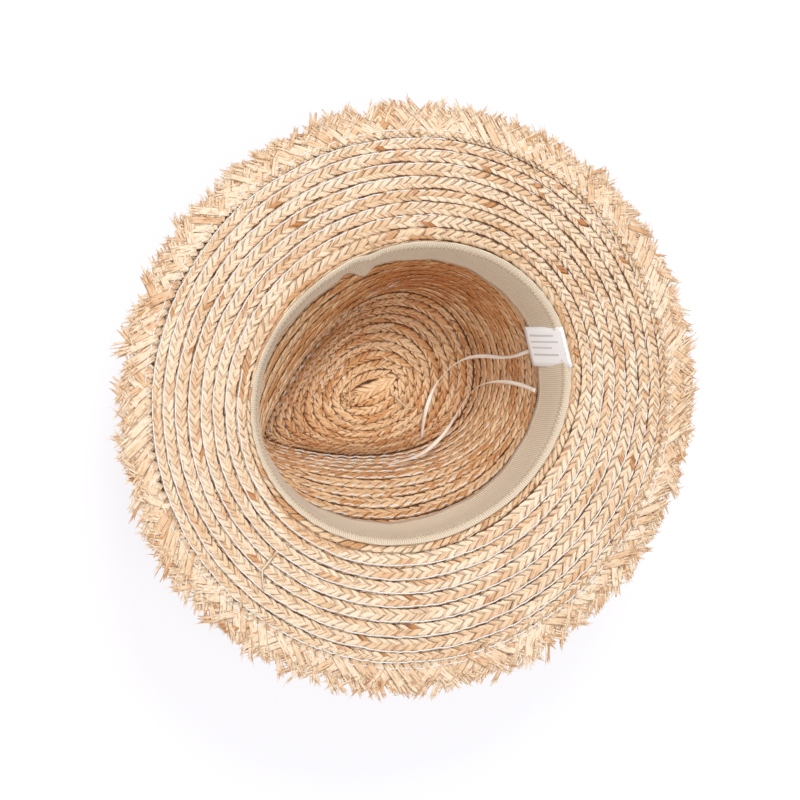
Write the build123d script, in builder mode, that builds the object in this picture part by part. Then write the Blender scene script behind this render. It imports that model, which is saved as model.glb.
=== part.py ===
"""Straw sun hat: a spiral of raffia braid, lying on its crown with the head opening up.

Units are millimetres. +Z points up out of the head opening, -Y is the front (the
pinched end of the crown) and +Y is the back. The hat stands on its crown ridge at
z = 0, and the origin is under the middle of the brim.
"""
from build123d import *
import math
import os

# ---------------------------------------------------------------- driving sizes
BRAID = 2.0                # thickness of the braid
HEAD_HALF_LENGTH = 99.0    # head opening, where the crown wall turns into the brim
HEAD_HALF_WIDTH = 86.5
CROWN_DEPTH = 104.6        # from the crown ridge to the head opening
BRIM_LIFT = 3.4            # how much higher the brim's edge is than the head opening
EDGE_HALF_LENGTH = 166.0   # to the outer side of the lattice edge
EDGE_HALF_WIDTH = 162.0
DENT_RISE = 21.0           # how far the middle of the tip is pushed up into the crown
RIDGE_HALF_LENGTH = 70.0   # the teardrop ridge that the hat stands on
RIDGE_HALF_WIDTH = 61.0
CROWN_X = -4.5             # the crown sits a little off the middle of the brim
CROWN_Y = 1.5
PINCH_ROUNDING = 0.08      # 0 would give the pinched end a knife-sharp fold
FRINGE_REACH = 7.5         # frayed ends outside the lattice edge
FRINGE_THICKNESS = 1.2
BAND_THICKNESS = 0.8       # ribbed sweatband
BAND_GAP = 1.4             # room for the drawstring between sweatband and crown wall
DRAWSTRING_THICKNESS = 0.6
RIBBON = 2.6               # width of the drawstring, and diameter of its plain tails
STITCH = 0.5               # thickness of a sewing thread
SEAM_WIDTH = 0.7           # a seam thread pulled flat into the braid
BACK_SEAM_WIDTH = 0.8
THREAD_LIFT = 0.3          # a thread lies this far off what it sews
TAIL_INSET = 2.4           # from the crown wall to the middle of a drawstring tail
LABEL_WIDTH = 24.0
LABEL_THICKNESS = 0.5
LABEL_SLANT = 2.0          # half of how far the label leans along the band
LABEL_STAND_OFF = 2.2      # the flat label clears the curved band by this much

# rows of braid, counted from the middle of the tip
KNOT_ROW = 1.5
RIDGE_ROW = 10.5
BAND_TOP_ROW = 21.2        # deep edge of the sweatband
BAND_SEWN_ROW = 24.8       # edge of the sweatband beside the brim
BREAK_ROW = 25.0
LATTICE_ROW = 33.6
EDGE_ROW = 35.4
CHANNEL_STITCH_ROW = 21.75
EDGE_STITCH_ROW = 24.3
BACK_SEAM_ROWS = (21.95, 24.1)
LABEL_ROWS = (21.3, 24.6)
SEAM_ROWS = {
    "tip_seam_thread": (2.0, 9.6),
    "side_seam_thread": (12.0, 20.6),
    "brim_seam_thread": (26.0, 33.3),
}
EDGE_SEAM_ROW = 33.8
EDGE_SEAM_TURNS = (0.0, 0.99)

# places round the hat, as a share of a turn from the front
BACK_SEAM_TURN = 0.49
LABEL_TURN = 0.476
LEFT_TAIL_TURN = 0.478
RIGHT_TAIL_TURN = 0.425

OUTLINE_POINTS = 40        # points on each closed row outline

# row, height, half length, half width, shift x, shift y, pinch (0 oval, 1 teardrop)
ROWS = [
    (0.0, 2.0 + DENT_RISE, 9.0, 1.5, CROWN_X, CROWN_Y - 4.0, 0.0),
    (2.0, 1.2 + DENT_RISE, 20.0, 12.5, CROWN_X, CROWN_Y - 4.0, 0.0),
    (5.0, 0.79 * DENT_RISE, 37.0, 31.0, CROWN_X, CROWN_Y - 3.5, 0.35),
    (8.0, 0.36 * DENT_RISE, 56.0, 49.0, CROWN_X, CROWN_Y - 2.0, 0.75),
    (RIDGE_ROW, BRAID, RIDGE_HALF_LENGTH, RIDGE_HALF_WIDTH, CROWN_X, CROWN_Y - 1.0, 1.0),
    (12.0, 11.5, 73.5, 64.0, CROWN_X, CROWN_Y - 1.2, 1.0),
    (15.0, 34.0, 79.0, 68.0, CROWN_X, CROWN_Y - 1.5, 0.92),
    (18.0, 55.0, 83.5, 73.0, CROWN_X, CROWN_Y - 1.5, 0.55),
    (21.0, 77.0, 88.0, 78.5, CROWN_X, CROWN_Y - 1.2, 0.12),
    (23.0, 91.5, 91.5, 81.0, CROWN_X, CROWN_Y - 0.5, 0.0),
    (24.3, 100.6, 94.5, 82.5, CROWN_X, CROWN_Y, 0.0),
    (BREAK_ROW, CROWN_DEPTH, HEAD_HALF_LENGTH, HEAD_HALF_WIDTH, CROWN_X, CROWN_Y, 0.0),
    (26.0, CROWN_DEPTH + 0.35 * BRIM_LIFT, 105.5, 94.5, -4.2, 1.5, 0.0),
    (29.0, CROWN_DEPTH + 0.70 * BRIM_LIFT, 125.5, 117.5, -3.2, 1.3, 0.0),
    (33.0, CROWN_DEPTH + 0.92 * BRIM_LIFT, 152.5, 148.5, -1.3, 1.0, 0.0),
    (EDGE_ROW, CROWN_DEPTH + BRIM_LIFT, EDGE_HALF_LENGTH, EDGE_HALF_WIDTH, 0.0, 0.0, 0.0),
]


def row_sizes(row):
    """Sizes of the row outline at any row number, eased smoothly between ROWS."""
    last = len(ROWS) - 2
    i = max(k for k in range(last + 1) if k == 0 or ROWS[k][0] <= row)
    a, b = ROWS[i], ROWS[i + 1]
    span = b[0] - a[0]
    u = (row - a[0]) / span
    sizes = []
    for c in range(1, 7):
        rise = (b[c] - a[c]) / span
        before = rise if i == 0 else (a[c] - ROWS[i - 1][c]) / (a[0] - ROWS[i - 1][0])
        after = rise if i == last else (ROWS[i + 2][c] - b[c]) / (ROWS[i + 2][0] - b[0])
        # the slope at a station is the gentler of its two sides, and level at a turning point
        start = 0.0 if before * rise <= 0 else math.copysign(min(abs(before), abs(rise)), rise)
        end = 0.0 if after * rise <= 0 else math.copysign(min(abs(after), abs(rise)), rise)
        sizes.append(
            a[c] + (b[c] - a[c]) * u * u * (3 - 2 * u)
            + span * (start * u * (1 - u) ** 2 - end * u * u * (1 - u))
        )
    return sizes


def row_point(row, turn, grow=0.0):
    """A point of the hat's inner surface: turn 0 is the front, 0.5 is the back."""
    height, length, width, x0, y0, pinch = row_sizes(row)
    a = 2 * math.pi * turn
    narrow = math.sqrt((math.sin(a / 2) ** 2 + PINCH_ROUNDING) / (1 + PINCH_ROUNDING))
    x = x0 + (width + grow) * math.sin(a) * (1 - pinch + pinch * narrow)
    y = y0 - (length + grow) * math.cos(a)
    return Vector(x, y, height)


def inward(row, turn):
    """Unit vector straight off the inner surface, towards the head."""
    h = 0.01
    along = row_point(row, turn + h) - row_point(row, turn - h)
    across = row_point(row + h, turn) - row_point(row - h, turn)
    return across.cross(along).normalized()


def height(row):
    return row_sizes(row)[0]


def outline(row, z, grow=0.0, inner=None):
    """The row's outline as a flat face at height z, or a ring if inner is given."""
    with BuildSketch(Plane.XY.offset(z)) as sketch:
        for size, mode in ((grow, Mode.ADD), (inner, Mode.SUBTRACT)):
            if size is None:
                continue
            with BuildLine():
                points = [row_point(row, k / OUTLINE_POINTS, size) for k in range(OUTLINE_POINTS)]
                Spline(*[(p.X, p.Y) for p in points], periodic=True)
            make_face(mode=mode)
    return sketch.sketch


def rows_between(first, last, step=1.0):
    """Row numbers from first to last, through the whole rows in between."""
    whole = [k * step for k in range(math.ceil(first / step), math.floor(last / step) + 1)]
    return sorted(set([first] + whole + [last]))


def thread(first, last, across, thick, lift, turns=None):
    """A thread that follows the rows round and round, one row further in each turn.

    With turns given it stays on one row for that part of a turn, or runs across the
    rows at one place if the two turns are equal.
    """
    if turns is None:
        spans = [(first + k, min(first + k + 1, last)) for k in range(math.ceil(last - first))]
        spans = [[(r, r % 1.0) for r in linear(a, b)] for a, b in spans]
    elif turns[0] == turns[1]:
        spans = [[(r, turns[0]) for r in linear(first, last)]]
    else:
        spans = [[(first, t) for t in linear(*turns)]]
    upright = turns is not None and turns[0] == turns[1]
    faces = []
    ends = []
    for span in spans:
        edges = []
        for side, depth in ((-1, 0), (1, 0), (1, 1), (-1, 1)):
            points = []
            for row, turn in span:
                h = 0.01
                a = row_point(row, turn + h) - row_point(row, turn - h)
                b = row_point(row + h, turn) - row_point(row - h, turn)
                aside = (a if upright else b).normalized()
                out = inward(row, turn)
                points.append(
                    row_point(row, turn) + out * (lift + depth * thick) + aside * (side * across / 2)
                )
            edges.append(Edge.make_spline(points))
        for a, b in zip(edges, edges[1:] + edges[:1]):
            faces.append(Face.make_surface_from_curves(a, b))
        ends.append(edges)
    for edges, at in ((ends[0], 0), (ends[-1], 1)):
        near = Edge.make_line(edges[0] @ at, edges[1] @ at)
        far = Edge.make_line(edges[3] @ at, edges[2] @ at)
        faces.append(Face.make_surface_from_curves(near, far))
    solid = Solid(Shell(faces))
    return solid if solid.volume > 0 else Solid(Shell([-f for f in faces]))


def linear(a, b, count=48):
    return [a + (b - a) * k / count for k in range(count + 1)]


def tail(start, points):
    """A plain round tube through the points, with the widest arcs that fit its runs."""
    route = [start] + [Vector(*p) for p in points]
    radii = []
    for a, b, c in zip(route, route[1:], route[2:]):
        half_turn = math.radians((b - a).get_angle(c - b)) / 2
        radii.append(0.45 * min((b - a).length, (c - b).length) / math.tan(half_turn))
    with BuildPart() as tube:
        with BuildLine() as path:
            route_line = FilletPolyline(*route, radius=radii)
        with BuildSketch(Plane(origin=route_line @ 0, z_dir=route_line % 0)):
            Circle(RIBBON / 2)
        sweep()
    length = sum(e.length for e in route_line.edges())
    expected = math.pi * (RIBBON / 2) ** 2 * length
    print("tail length %.1f, volume ratio %.4f, radii %s"
          % (length, tube.part.volume / expected, [round(r, 1) for r in radii]))
    return tube


parts = {}

# ---------------------------------------------------------------- crown tip
# The knotted start of the braid, an oval button in the middle of the dent.
with BuildPart() as tip_centre_knot:
    low = height(KNOT_ROW) - BRAID
    loft([outline(KNOT_ROW, low), outline(KNOT_ROW, height(KNOT_ROW))])
    loft([outline(KNOT_ROW, height(KNOT_ROW)), outline(0.5, height(0.5))], ruled=True)
parts["tip_centre_knot"] = tip_centre_knot

# Rows of the dented tip, from the knot down to the teardrop ridge.
tip_rows = rows_between(KNOT_ROW, RIDGE_ROW)[::-1]
with BuildPart() as crown_tip_braid:
    extrude(outline(RIDGE_ROW, 0), amount=BRAID)
    loft([outline(r, height(r)) for r in tip_rows], ruled=True)
    loft([outline(r, height(r) - BRAID) for r in tip_rows], ruled=True, mode=Mode.SUBTRACT)
    extrude(outline(KNOT_ROW, height(KNOT_ROW) - BRAID), amount=BRAID, mode=Mode.SUBTRACT)
parts["crown_tip_braid"] = crown_tip_braid

# ---------------------------------------------------------------- crown wall
wall_rows = rows_between(RIDGE_ROW, 24.0, 0.5) + [24.3, 24.65]
with BuildPart() as crown_side_braid:
    outside = [outline(RIDGE_ROW, 0, BRAID)]
    outside += [outline(r, height(r), BRAID) for r in wall_rows[:-1]]
    outside += [outline(BREAK_ROW, z, BRAID) for z in (CROWN_DEPTH - BRAID, CROWN_DEPTH)]
    loft(outside, ruled=True)
    inside = [outline(r, height(r)) for r in wall_rows + [BREAK_ROW]]
    loft(inside, ruled=True, mode=Mode.SUBTRACT)
    extrude(outline(RIDGE_ROW, 0), amount=BRAID, mode=Mode.SUBTRACT)
parts["crown_side_braid"] = crown_side_braid

# ---------------------------------------------------------------- brim and its edge
brim_rows = rows_between(BREAK_ROW + 1, LATTICE_ROW)
brim_foot = CROWN_DEPTH - BRAID
brim_top = height(LATTICE_ROW)
with BuildPart() as brim_braid:
    under = [outline(BREAK_ROW, brim_foot, BRAID)]
    under += [outline(r, height(r) - BRAID) for r in brim_rows]
    loft(under, ruled=True)
    extrude(outline(LATTICE_ROW, brim_top - BRAID), amount=BRAID)
    hollow = [outline(BREAK_ROW, z, BRAID) for z in (brim_foot, CROWN_DEPTH)]
    hollow += [outline(r, height(r)) for r in brim_rows]
    loft(hollow, ruled=True, mode=Mode.SUBTRACT)
parts["brim_braid"] = brim_braid

with BuildPart() as edge_lattice:
    extrude(outline(EDGE_ROW, brim_top - BRAID), amount=BRAID)
    extrude(outline(LATTICE_ROW, brim_top - BRAID), amount=BRAID, mode=Mode.SUBTRACT)
parts["edge_lattice"] = edge_lattice

with BuildPart() as edge_fringe:
    middle = brim_top - (BRAID + FRINGE_THICKNESS) / 2
    extrude(outline(EDGE_ROW, middle, FRINGE_REACH, 0.0), amount=FRINGE_THICKNESS)
parts["edge_fringe"] = edge_fringe

# ---------------------------------------------------------------- seam thread
# One white thread sews each row to the next, all the way round the spiral.
for name, rows in SEAM_ROWS.items():
    with BuildPart() as seam:
        add(thread(*rows, SEAM_WIDTH, STITCH, THREAD_LIFT))
    parts[name] = seam

# The lattice is sewn on with a row of its own.
with BuildPart() as edge_seam_thread:
    add(thread(EDGE_SEAM_ROW, EDGE_SEAM_ROW, SEAM_WIDTH, STITCH, THREAD_LIFT, EDGE_SEAM_TURNS))
parts["edge_seam_thread"] = edge_seam_thread

# ---------------------------------------------------------------- sweatband
band_rows = [BAND_TOP_ROW] + [r for r in wall_rows if r > BAND_TOP_ROW] + [BAND_SEWN_ROW]
band_back = -BAND_GAP
band_face = band_back - BAND_THICKNESS
with BuildPart() as sweatband:
    loft([outline(r, height(r), band_back) for r in band_rows], ruled=True)
    loft([outline(r, height(r), band_face) for r in band_rows], ruled=True, mode=Mode.SUBTRACT)
parts["sweatband"] = sweatband

# Rings of machine stitching along both edges of the band, lying on its face.
stitch_out = band_face - THREAD_LIFT
for name, row in (
    ("sweatband_channel_stitching", CHANNEL_STITCH_ROW),
    ("sweatband_edge_stitching", EDGE_STITCH_ROW),
):
    with BuildPart() as ring:
        extrude(outline(row, height(row), stitch_out, stitch_out - STITCH), amount=STITCH)
    parts[name] = ring

# The band's two ends meet at the back in an upright seam, under the label.
seam_lift = BAND_GAP + BAND_THICKNESS + THREAD_LIFT
with BuildPart() as sweatband_back_seam:
    add(thread(*BACK_SEAM_ROWS, BACK_SEAM_WIDTH, STITCH, seam_lift, (BACK_SEAM_TURN,) * 2))
parts["sweatband_back_seam"] = sweatband_back_seam

# ---------------------------------------------------------------- drawstring
# Flat ribbon in the band's deep edge; its two ends hang out at the back.
loop_out = -(BAND_GAP - DRAWSTRING_THICKNESS) / 2
loop_in = loop_out - DRAWSTRING_THICKNESS
loop_rows = [BAND_TOP_ROW + 0.05, BAND_TOP_ROW + 0.4]
with BuildPart() as drawstring_loop:
    loft([outline(r, height(r), loop_out) for r in loop_rows], ruled=True)
    loft([outline(r, height(r), loop_in) for r in loop_rows], ruled=True, mode=Mode.SUBTRACT)
parts["drawstring_loop"] = drawstring_loop

under_band = Vector(0, 0, -0.05)
parts["drawstring_tail_left"] = tail(
    row_point(BAND_TOP_ROW, LEFT_TAIL_TURN, -TAIL_INSET) + under_band,
    [(8.6, 78.2, 66.5), (8.4, 73.2, 52.4), (4.0, 66.6, 35.5), (2.6, 57.0, 21.5), (6.4, 42.2, 20.8),
     (13.9, 30.3, 22.2), (25.2, 20.8, 19.7), (37.0, 15.8, 13.6)],
)
parts["drawstring_tail_right"] = tail(
    row_point(BAND_TOP_ROW, RIGHT_TAIL_TURN, -TAIL_INSET) + under_band,
    [(26.0, 73.6, 66.0), (21.3, 67.6, 51.5), (19.5, 60.2, 37.5), (22.5, 54.3, 24.9),
     (30.0, 45.8, 17.2), (38.7, 33.5, 17.9), (42.6, 17.2, 26.6), (42.2, 1.1, 35.3),
     (37.7, -15.9, 39.4)],
)

# ---------------------------------------------------------------- care label
# A folded satin tag lying over the band at the back, sewn at the brim side.
label_lift = seam_lift + STITCH + LABEL_STAND_OFF
foot, head = [row_point(r, LABEL_TURN) + inward(r, LABEL_TURN) * label_lift for r in LABEL_ROWS]
middle_row = sum(LABEL_ROWS) / 2
across = row_point(middle_row, LABEL_TURN - 0.01) - row_point(middle_row, LABEL_TURN + 0.01)
label_plane = Plane(origin=(foot + head) * 0.5, x_dir=across, z_dir=across.cross(head - foot))
label_height = (head - foot).length
with BuildPart() as care_label:
    with BuildSketch(label_plane):
        with BuildLine():
            Polyline(
                (-LABEL_WIDTH / 2 - LABEL_SLANT, -label_height / 2),
                (LABEL_WIDTH / 2 - LABEL_SLANT, -label_height / 2),
                (LABEL_WIDTH / 2 + LABEL_SLANT, label_height / 2),
                (-LABEL_WIDTH / 2 + LABEL_SLANT, label_height / 2),
                close=True,
            )
        make_face()
    extrude(amount=LABEL_THICKNESS)
parts["care_label"] = care_label

with BuildPart() as label_stitching:
    with BuildSketch(label_plane.offset(LABEL_THICKNESS)):
        with Locations((LABEL_SLANT, label_height / 2 - 3 * STITCH)):
            Rectangle(LABEL_WIDTH - 2, STITCH)
    extrude(amount=STITCH / 2)
parts["label_stitching"] = label_stitching

# ---------------------------------------------------------------- labels and files
os.makedirs("parts", exist_ok=True)
for name, piece in parts.items():
    piece.part.label = name
    export_step(piece.part, "parts/%s.step" % name)
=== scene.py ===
import bpy
import math
import random
from mathutils import Matrix, Vector


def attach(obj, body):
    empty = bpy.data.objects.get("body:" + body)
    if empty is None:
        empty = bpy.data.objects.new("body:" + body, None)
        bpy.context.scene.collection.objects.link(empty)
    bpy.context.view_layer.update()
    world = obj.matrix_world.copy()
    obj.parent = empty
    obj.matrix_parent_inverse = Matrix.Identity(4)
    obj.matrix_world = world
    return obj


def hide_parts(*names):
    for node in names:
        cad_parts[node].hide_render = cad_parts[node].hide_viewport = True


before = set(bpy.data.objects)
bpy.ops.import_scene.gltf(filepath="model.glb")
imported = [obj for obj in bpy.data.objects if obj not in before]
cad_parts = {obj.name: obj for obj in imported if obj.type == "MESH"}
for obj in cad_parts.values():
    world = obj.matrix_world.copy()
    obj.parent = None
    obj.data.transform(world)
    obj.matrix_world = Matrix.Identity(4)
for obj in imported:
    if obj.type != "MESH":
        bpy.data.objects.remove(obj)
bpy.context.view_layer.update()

# ---------------------------------------------------------------- crown tip
# The hat is one raffia braid, wound from a knot in the middle of the tip and sewn to
# itself row by row. Each strand shows as a slanted leaf, and two columns of leaves make
# the herringbone of a row. The tip is pushed in, inside a teardrop ridge.

MM = 0.001
RIDGE_ROW = 10.5
BREAK_ROW = 25.0
LATTICE_ROW = 33.6
EDGE_ROW = 35.4
BRAID = 2.0

# row, height, half length, half width, shift x, shift y, pinch (0 oval, 1 teardrop)
ROWS = [
    (0.0, 23.0, 9.0, 1.5, -4.5, -2.5, 0.0),
    (2.0, 22.2, 20.0, 12.5, -4.5, -2.5, 0.0),
    (5.0, 16.59, 37.0, 31.0, -4.5, -2.0, 0.35),
    (8.0, 7.56, 56.0, 49.0, -4.5, -0.5, 0.75),
    (RIDGE_ROW, 2.0, 70.0, 61.0, -4.5, 0.5, 1.0),
    (12.0, 11.5, 73.5, 64.0, -4.5, 0.3, 1.0),
    (15.0, 34.0, 79.0, 68.0, -4.5, 0.0, 0.92),
    (18.0, 55.0, 83.5, 73.0, -4.5, 0.0, 0.55),
    (21.0, 77.0, 88.0, 78.5, -4.5, 0.3, 0.12),
    (23.0, 91.5, 91.5, 81.0, -4.5, 1.0, 0.0),
    (24.3, 100.6, 94.5, 82.5, -4.5, 1.5, 0.0),
    (BREAK_ROW, 104.6, 99.0, 86.5, -4.5, 1.5, 0.0),
    (26.0, 105.79, 105.5, 94.5, -4.2, 1.5, 0.0),
    (29.0, 106.98, 125.5, 117.5, -3.2, 1.3, 0.0),
    (33.0, 107.728, 152.5, 148.5, -1.3, 1.0, 0.0),
    (EDGE_ROW, 108.0, 166.0, 162.0, 0.0, 0.0, 0.0),
    (38.0, 108.2, 182.0, 178.0, 0.0, 0.0, 0.0),
]


def row_point(row, turn):
    """A point of the hat's inner surface, in mm: turn 0 is the front, 0.5 the back."""
    last = len(ROWS) - 2
    i = max([k for k in range(last + 1) if ROWS[k][0] <= row] or [0])
    a, b = ROWS[i], ROWS[i + 1]
    span = b[0] - a[0]
    u = (row - a[0]) / span
    size = []
    for c in range(1, 7):
        rise = (b[c] - a[c]) / span
        before = rise if i == 0 else (a[c] - ROWS[i - 1][c]) / (a[0] - ROWS[i - 1][0])
        after = rise if i == last else (ROWS[i + 2][c] - b[c]) / (ROWS[i + 2][0] - b[0])
        start = 0.0 if before * rise <= 0 else math.copysign(min(abs(before), abs(rise)), rise)
        end = 0.0 if after * rise <= 0 else math.copysign(min(abs(after), abs(rise)), rise)
        size.append(a[c] + (b[c] - a[c]) * u * u * (3 - 2 * u)
                    + span * (start * u * (1 - u) ** 2 - end * u * u * (1 - u)))
    height, length, width, x0, y0, pinch = size
    angle = 2 * math.pi * turn
    narrow = math.sqrt((math.sin(angle / 2) ** 2 + 0.08) / 1.08)
    x = x0 + width * math.sin(angle) * (1 - pinch + pinch * narrow)
    y = y0 - length * math.cos(angle)
    # the straw gives a little: at its edge the brim waves from 1.0 mm above to 3.7 mm below level
    give = max(0.0, (row - BREAK_ROW) / (EDGE_ROW - BREAK_ROW))
    wave = 1.6 * math.sin(2 * angle + 0.6) + 0.8 * math.sin(5 * angle + 1.9)
    return Vector((x, y, height + give * (wave - 1.4)))


def row_frame(row, turn):
    """(point in mm, unit vector along the row, across to the next row, out to the head)"""
    h = 0.004
    along = (row_point(row, turn + h) - row_point(row, turn - h)) / (2 * h)
    across = (row_point(row + h, turn) - row_point(row - h, turn)) / (2 * h)
    out = across.cross(along).normalized()
    return row_point(row, turn), along, along.normalized().cross(out), out, across


def add(tree, kind, inputs=None, **settings):
    """Adds a node with its settings, and sets or links its inputs."""
    n = tree.nodes.new(kind)
    for key, value in settings.items():
        setattr(n, key, value)
    for key, value in (inputs or {}).items():
        if isinstance(value, bpy.types.NodeSocket):
            tree.links.new(value, n.inputs[key])
        else:
            n.inputs[key].default_value = value
    return n


def hex_colour(text):
    """An sRGB hex colour as linear red, green, blue and 1."""
    parts = [int(text[i:i + 2], 16) / 255 for i in (1, 3, 5)]
    return tuple(c / 12.92 if c <= 0.04045 else ((c + 0.055) / 1.055) ** 2.4 for c in parts) + (1,)


def new_material(name, looks):
    """(material, its node tree, its surface with these looks set)"""
    material = bpy.data.materials.new(name)
    material.use_nodes = True
    skin = material.node_tree.nodes["Principled BSDF"]
    for key, value in looks.items():
        skin.inputs[key].default_value = value
    return material, material.node_tree, skin


def surface(tree, skin, colour, bumps):
    """Links a surface to its colour and its bumps."""
    tree.links.new(colour, skin.inputs["Base Color"])
    tree.links.new(bumps.outputs[0], skin.inputs["Normal"])


# Raffia: dried palm leaf, split and plaited dry. It is matt to waxy, with fine fibres
# along each strand, its tone differing from strand to strand and now and then orange-brown.
raffia, t, skin = new_material("plaited raffia", {"Roughness": 0.62, "Specular IOR Level": 0.35})
uv = add(t, "ShaderNodeSeparateXYZ", {0: add(t, "ShaderNodeUVMap", uv_map="strand").outputs[0]})
tone_and_painted_shade = add(t, "ShaderNodeAttribute", attribute_name="shade").outputs["Fac"]
apart = add(t, "ShaderNodeMath", {0: tone_and_painted_shade, 1: 61.0}, operation="MULTIPLY").outputs[0]
# fibres drawn 0.9 mm apart, twice the real spacing, and some 6 mm long; the UV map is in mm
lengthways = add(t, "ShaderNodeMath", {0: uv.outputs[0], 1: 0.16}, operation="MULTIPLY").outputs[0]
crossways = add(t, "ShaderNodeMath", {0: uv.outputs[1], 1: 1.1}, operation="MULTIPLY").outputs[0]
place = add(t, "ShaderNodeCombineXYZ", {0: lengthways, 1: crossways, 2: apart}).outputs[0]
fibre = add(t, "ShaderNodeTexNoise", {"Vector": place, "Scale": 1.0, "Detail": 3.0, "Roughness": 0.65})
straw = add(t, "ShaderNodeValToRGB", {0: tone_and_painted_shade})
ramp = straw.color_ramp.elements
ramp[0].color, ramp[1].color = hex_colour("#f2dcbf"), hex_colour("#bd7f4c")
for at, colour in ((0.45, "#ebcfad"), (0.8, "#e2bb93"), (0.93, "#d19e6d")):
    ramp.new(at).color = hex_colour(colour)
streak = add(t, "ShaderNodeValToRGB", {0: fibre.outputs[0]})
for e, (at, colour) in zip(streak.color_ramp.elements, ((0.30, "#c08d60"), (0.50, "#ffffff"))):
    e.position, e.color = at, hex_colour(colour)
coat = add(t, "ShaderNodeMix", {0: 0.9, 6: straw.outputs[0], 7: streak.outputs[0]},
           data_type="RGBA", blend_type="MULTIPLY")
# painted shade: inside the crown the straw's colour is multiplied darker and more golden, most in its deep
# fold and the tip's middle, standing in for the shade there
deep = add(t, "ShaderNodeAttribute", attribute_name="worn").outputs["Fac"]
coat_with_painted_shade = add(t, "ShaderNodeMix", {0: deep, 6: coat.outputs[2], 7: hex_colour("#fff2de")},
           data_type="RGBA", blend_type="MULTIPLY")
ridge = add(t, "ShaderNodeBump", {"Height": fibre.outputs[0], "Strength": 0.55, "Distance": 0.00025})
surface(t, skin, coat_with_painted_shade.outputs[2], ridge)

# Painted shade under the plait: a dark brown skin in the braid's middle, painted the colour of the shade seen
# in the gaps between rows; the real strands there are the same straw.
painted_shade_skin, t, skin = new_material("raffia strands under the plait", {"Roughness": 0.8})
where = add(t, "ShaderNodeTexCoord").outputs["Object"]
grain = add(t, "ShaderNodeTexNoise", {"Vector": where, "Scale": 900.0, "Detail": 2.0})
dark = add(t, "ShaderNodeValToRGB", {0: grain.outputs[0]})
for e, (at, colour) in zip(dark.color_ramp.elements, ((0.35, "#3c200d"), (0.7, "#7a4f2c"))):
    e.position, e.color = at, hex_colour(colour)
dent = add(t, "ShaderNodeBump", {"Height": grain.outputs[0], "Strength": 0.6, "Distance": 0.0004})
surface(t, skin, dark.outputs[0], dent)


def uv_mesh(name, verts, faces, layer_name, uvs):
    """A smooth mesh whose UV map gives every vertex its place in millimetres."""
    me = bpy.data.meshes.new(name)
    me.from_pydata(verts, [], faces)
    layer = me.uv_layers.new(name=layer_name)
    for loop in me.loops:
        layer.data[loop.index].uv = uvs[loop.vertex_index]
    me.shade_smooth()
    return me


def strip_mesh(name, length, width, thick, steps, cols, shear, middle, half_width, fade):
    """A closed flat strand along +X from its middle, with a UV map in millimetres.

    Its ends are cut on a slant, shear mm along for every mm across. middle(u, v) is its
    height in mm, half_width(u) its share of the half width and fade(u, v) its share of
    the thickness, for u and v from -1 to 1.
    """
    verts, uvs, faces = [], [], []
    index = {}
    for side in (1, -1):
        for i in range(steps + 1):
            for j in range(cols + 1):
                u, v = 2 * i / steps - 1, 2 * j / cols - 1
                rim = i in (0, steps) or j in (0, cols)
                if side == -1 and rim:
                    index[side, i, j] = index[1, i, j]
                    continue
                index[side, i, j] = len(verts)
                y = v * half_width(u) * width / 2
                z = middle(u, v) + (0 if rim else side * fade(u, v) * thick / 2)
                x = u * length / 2 - shear * y
                verts.append((x * MM, y * MM, z * MM))
                uvs.append((x + length, (v + 1) * width / 2))
        for i in range(steps):
            for j in range(cols):
                quad = [index[side, a, b] for a, b in ((i, j), (i + 1, j), (i + 1, j + 1), (i, j + 1))]
                faces.append(quad if side == 1 else quad[::-1])
    return bpy.data.objects.new(name, uv_mesh(name, verts, faces, "strand", uvs))


LEAF_LONG, LEAF_WIDE, LEAF_THICK = 8.4, 4.3, 0.6
LEAF_SLANT = math.radians(35)
ROW_PITCH = 7.2
STRAND_SPACING = 5.25

# Six cuts of strand leaf, 8.4 mm long and 4.3 mm wide where a braid row is 7.2 mm wide:
# three for each column, with both ends parallel to the row. Each lies with one long side
# on its neighbour; it folds down at the row's edge and ducks under in the row's middle.
leaves = []
for hand in (1, -1):
    for dive, twist, groove in ((0.65, 0.05, 0.0), (0.5, -0.06, 0.45), (0.75, 0.08, 0.2)):
        leaves.append(strip_mesh(
            "leaf_pattern_%d" % len(leaves), LEAF_LONG, LEAF_WIDE, LEAF_THICK, 5, 3,
            hand / math.tan(LEAF_SLANT),
            lambda u, v, d=dive, w=twist, h=hand:
                -(0.55 if u * h > 0 else d) * abs(u) ** 3.5 + w * u * v + 0.22 * v - 0.05 * v * v,
            lambda u: 1 - 0.16 * u ** 6,
            lambda u, v, g=groove: (1 - 0.5 * u * u) * (1 - g * (1 - abs(v))),
        ))


def new_tree(name, takes, makes):
    """A Geometry Nodes tree, its input node, and the keys of what it takes, by label."""
    tree = bpy.data.node_groups.new(name, "GeometryNodeTree")
    keys = {}
    for label, kind in takes:
        socket = tree.interface.new_socket(label, in_out="INPUT", socket_type="NodeSocket" + kind)
        keys[label] = socket.identifier
    tree.interface.new_socket(makes, in_out="OUTPUT", socket_type="NodeSocketGeometry")
    return tree, add(tree, "NodeGroupInput"), keys


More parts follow.
